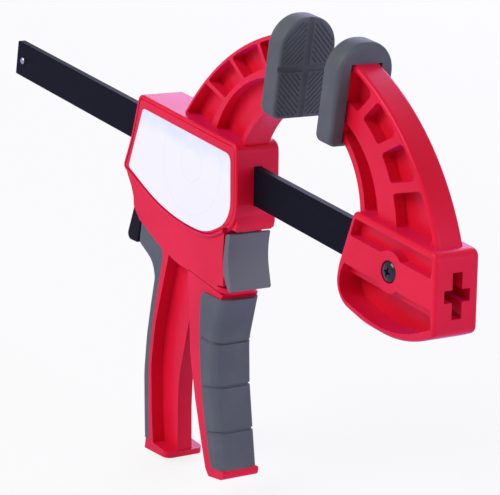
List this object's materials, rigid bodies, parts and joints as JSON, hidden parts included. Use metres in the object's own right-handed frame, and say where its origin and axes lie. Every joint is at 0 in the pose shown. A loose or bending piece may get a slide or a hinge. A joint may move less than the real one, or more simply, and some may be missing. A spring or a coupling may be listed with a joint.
{
  "type": "quick release bar clamp",
  "caption": "One-handed bar clamp: two curved jaws with rubber pads on a flat steel bar, a squeeze trigger that closes them and a release trigger that frees the bar.",
  "frame": {"origin": "on the bar's centreline, in the plane of the moving jaw's clamping face", "axes": "+X along the bar from the moving jaw to the fixed jaw, +Z from the bar to the jaws' tips, +Y across the bar towards the side with the cover screws"},
  "size_m": [0.4112, 0.034, 0.268],
  "materials": {
    "red_plastic": "glossy moulded plastic",
    "grip_rubber": "soft matt grip, moulded over",
    "pad_rubber": "matt rubber with moulded ribs",
    "grey_plastic": "satin moulded plastic",
    "black_plastic": "satin moulded plastic",
    "bar_steel": "black oxide on steel",
    "black_screw": "glossy black coating",
    "plain_steel": "ground steel",
    "zinc_steel": "bright zinc plate",
    "label_white": "bare white film"
  },
  "bodies": {
    "body": {"body_housing": "red_plastic", "side_cover": "red_plastic", "label_plate": "label_white", "cover_screws": "zinc_steel", "handle_backstrap": "grip_rubber", "moving_jaw_pad": "pad_rubber", "trigger_pivot_pins": "plain_steel", "release_pin": "plain_steel", "rear_lever_pin": "plain_steel", "drive_spring": "plain_steel", "brake_spring": "plain_steel", "rear_lever_spring": "plain_steel"},
    "bar_and_fixed_jaw": {"bar": "bar_steel", "bar_stop_pin": "plain_steel", "fixed_jaw": "red_plastic", "fixed_jaw_pad": "pad_rubber", "jaw_screw": "black_screw", "jaw_nut": "zinc_steel"},
    "trigger": {"trigger_core": "red_plastic", "trigger_grip": "grip_rubber"},
    "drive_plate": {"drive_plate": "plain_steel"},
    "release_trigger": {"release_trigger": "grey_plastic"},
    "brake_plate": {"brake_plate": "plain_steel"},
    "rear_lever": {"rear_lever": "black_plastic"}
  },
  "joints": [
    {"name": "bar_slide", "type": "slide", "parent": "body", "child": "bar_and_fixed_jaw", "axis": [1, 0, 0], "range_m": [-0.0347, 0.133]},
    {"name": "trigger_hinge", "type": "hinge", "parent": "body", "child": "trigger", "pos_m": [-0.069, 0, 0], "axis": [0, 1, 0], "range_deg": [0, 11], "stiffness_Nm_per_rad": 1.5, "springref_deg": -6.88},
    {"name": "drive_slide", "type": "slide", "parent": "body", "child": "drive_plate", "axis": [-1, 0, 0], "range_m": [0, 0.004], "deforming": ["drive_spring"]},
    {"name": "release_hinge", "type": "hinge", "parent": "body", "child": "release_trigger", "pos_m": [-0.036, 0, -0.05], "axis": [0, -1, 0], "range_deg": [0, 5.5], "stiffness_Nm_per_rad": 0.5, "springref_deg": -5.73},
    {"name": "brake_hinge", "type": "hinge", "parent": "body", "child": "brake_plate", "pos_m": [-0.046, 0, 0.014], "axis": [0, 1, 0], "range_deg": [0, 3.2], "deforming": ["brake_spring"]},
    {"name": "lever_hinge", "type": "hinge", "parent": "body", "child": "rear_lever", "pos_m": [-0.1215, 0, -0.0282], "axis": [0, -1, 0], "range_deg": [0, 7], "stiffness_Nm_per_rad": 0.3, "springref_deg": -5.73, "deforming": ["rear_lever_spring"]}
  ],
  "couplings": [
    {"joint": "drive_slide", "follows": "trigger_hinge", "m_per_rad": 0.0205},
    {"joint": "brake_hinge", "follows": "release_hinge", "ratio": 0.55}
  ]
}
